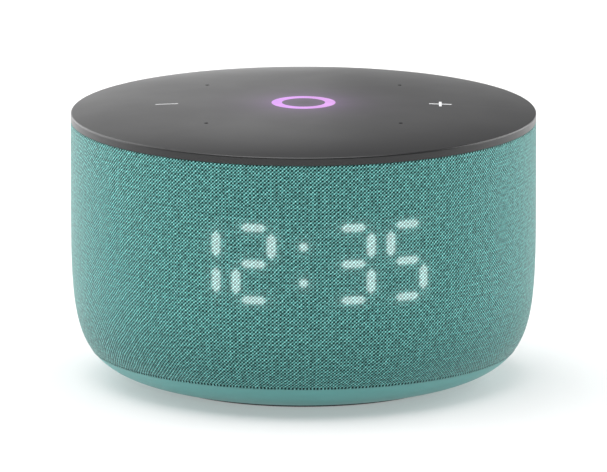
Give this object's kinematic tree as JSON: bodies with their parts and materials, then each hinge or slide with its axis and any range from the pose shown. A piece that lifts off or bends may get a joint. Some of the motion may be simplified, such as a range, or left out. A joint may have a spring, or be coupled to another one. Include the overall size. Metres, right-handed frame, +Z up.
{
  "type": "smart speaker",
  "caption": "Drum-shaped smart speaker with a fabric sleeve, a clock display behind the fabric, a domed touch cover with a glowing ring, and a rear power socket and mute slider.",
  "frame": {"origin": "centre of the rubber foot's underside, on the table under the drum's axis", "axes": "+Z up along the drum's axis; the clock display faces -Y, the ports face +Y, +X is the right-hand side seen from the front"},
  "size_m": [0.112, 0.112, 0.0672],
  "materials": {
    "cover_grey": "fine satin grain",
    "glow_ring": "frosted light guide, lit",
    "minus_mark": "frosted, dimly lit",
    "plus_mark": "frosted, lit",
    "sleeve_fabric": "coarse knit, teal yarn",
    "base_teal": "satin moulded plastic",
    "foot_rubber": "matt",
    "slider_grey": "satin with grip ridges",
    "socket_steel": "plain drawn steel",
    "black_plastic": "moulded, matt",
    "lit_lens": "frosted, lit from behind",
    "dark_lens": "frosted, unlit",
    "flex_amber": "polyimide film",
    "led_white": "moulded package",
    "foam_black": "closed-cell foam",
    "board_green": "solder mask",
    "chip_metal": "tinned sheet",
    "chip_black": "epoxy package",
    "can_aluminium": "brushed",
    "connector_white": "nylon",
    "pad_grey": "soft silicone",
    "basket_steel": "black coated pressed steel",
    "magnet_ferrite": "ground ferrite",
    "coil_copper": "enamelled copper wire",
    "cone_paper": "pressed pulp, dyed",
    "surround_rubber": "moulded",
    "spider_cloth": "resin-stiffened cloth",
    "lead_insulation": "PVC insulation",
    "screw_steel": "black-zinc screw"
  },
  "bodies": {
    "speaker": {"amplifier_chip": "chip_black", "base_screws": "screw_steel", "base_shell": "base_teal", "board_connectors": "connector_white", "capacitors": "can_aluminium", "chamber_body": "black_plastic", "chamber_gasket": "foam_black", "chamber_lid": "black_plastic", "chamber_screws": "screw_steel", "cover_leds": "led_white", "display_board": "flex_amber", "display_housing": "black_plastic", "display_leds": "led_white", "display_ribbon_cable": "flex_amber", "driver_basket": "basket_steel", "driver_gasket": "foam_black", "driver_magnet": "magnet_ferrite", "driver_pole": "socket_steel", "driver_screws": "screw_steel", "driver_spider": "spider_cloth", "driver_surround": "surround_rubber", "driver_top_plate": "socket_steel", "fabric_sleeve": "sleeve_fabric", "grille_frame": "black_plastic", "heat_spreader": "can_aluminium", "lead_grommet": "surround_rubber", "light_shrouds": "foam_black", "lit_segment_lenses": "lit_lens", "main_board": "board_green", "main_board_screws": "screw_steel", "memory_chip": "chip_black", "microphone_gaskets": "foam_black", "microphones": "chip_metal", "minus_lens": "minus_mark", "mute_switch": "black_plastic", "plus_lens": "plus_mark", "power_inductors": "chip_black", "power_socket": "socket_steel", "processor_shield": "chip_metal", "rear_port_panel": "base_teal", "ring_centre_cap": "cover_grey", "rubber_foot": "foot_rubber", "sound_deflector": "black_plastic", "speaker_leads": "lead_insulation", "status_light_guide": "glow_ring", "thermal_pad": "pad_grey", "top_board": "board_green", "top_board_screws": "screw_steel", "top_cover": "cover_grey", "top_ribbon_cable": "flex_amber", "top_tray": "black_plastic", "tray_screws": "screw_steel", "unlit_segment_lenses": "dark_lens", "wireless_antennas": "flex_amber", "wireless_module": "chip_metal"},
    "driver_cone_assembly": {"driver_cone": "cone_paper", "dust_cap": "cone_paper", "voice_coil_former": "can_aluminium", "voice_coil": "coil_copper"},
    "mute_slider": {"mute_slider": "slider_grey"}
  },
  "joints": [
    {"name": "driver_travel", "type": "slide", "parent": "speaker", "child": "driver_cone_assembly", "axis": [0, 0, 1], "range_m": [-0.0025, 0.0025], "stiffness_N_per_m": 1000, "deforming": ["driver_surround", "driver_spider"]},
    {"name": "mute_slide", "type": "slide", "parent": "speaker", "child": "mute_slider", "axis": [1, 0, 0], "range_m": [0, 0.003]}
  ]
}
